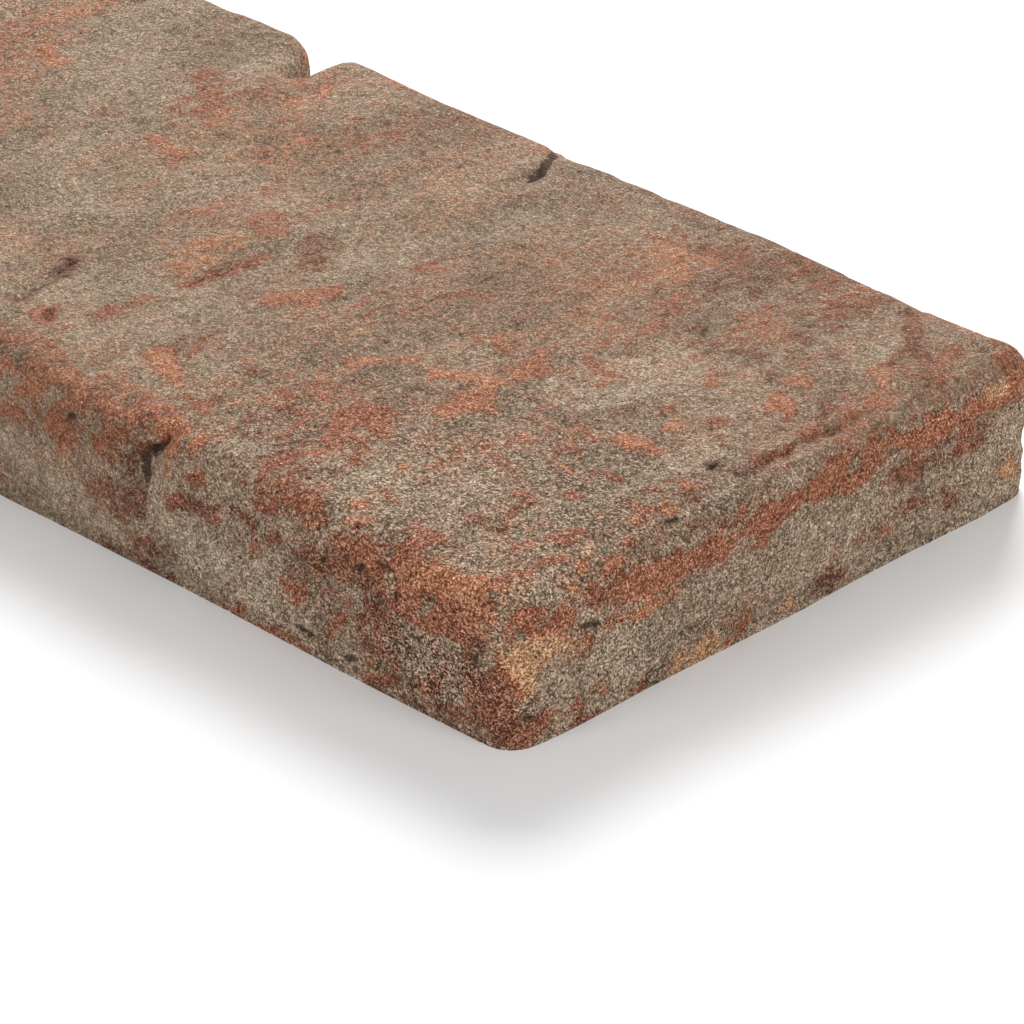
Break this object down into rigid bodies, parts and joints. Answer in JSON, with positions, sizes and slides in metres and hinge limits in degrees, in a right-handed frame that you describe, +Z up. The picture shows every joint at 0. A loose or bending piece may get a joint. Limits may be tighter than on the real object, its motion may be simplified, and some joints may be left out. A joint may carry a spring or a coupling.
{
  "type": "thin brick tile",
  "caption": "Thin brick tile of fired red clay: a long flat slip with a rough moulded face, worn arrises and a flat sawn back for adhesive.",
  "frame": {"origin": "centre of the sawn back, on the surface the tile lies on", "axes": "+X along the length, +Y across the width, +Z up from the sawn back to the moulded face"},
  "size_m": [0.1936, 0.057, 0.0127],
  "materials": {
    "fired_clay": "rough, sandy red clay with a weathered grey coat, no glaze"
  },
  "bodies": {
    "root": {"brick_tile": "fired_clay"}
  },
  "joints": []
}
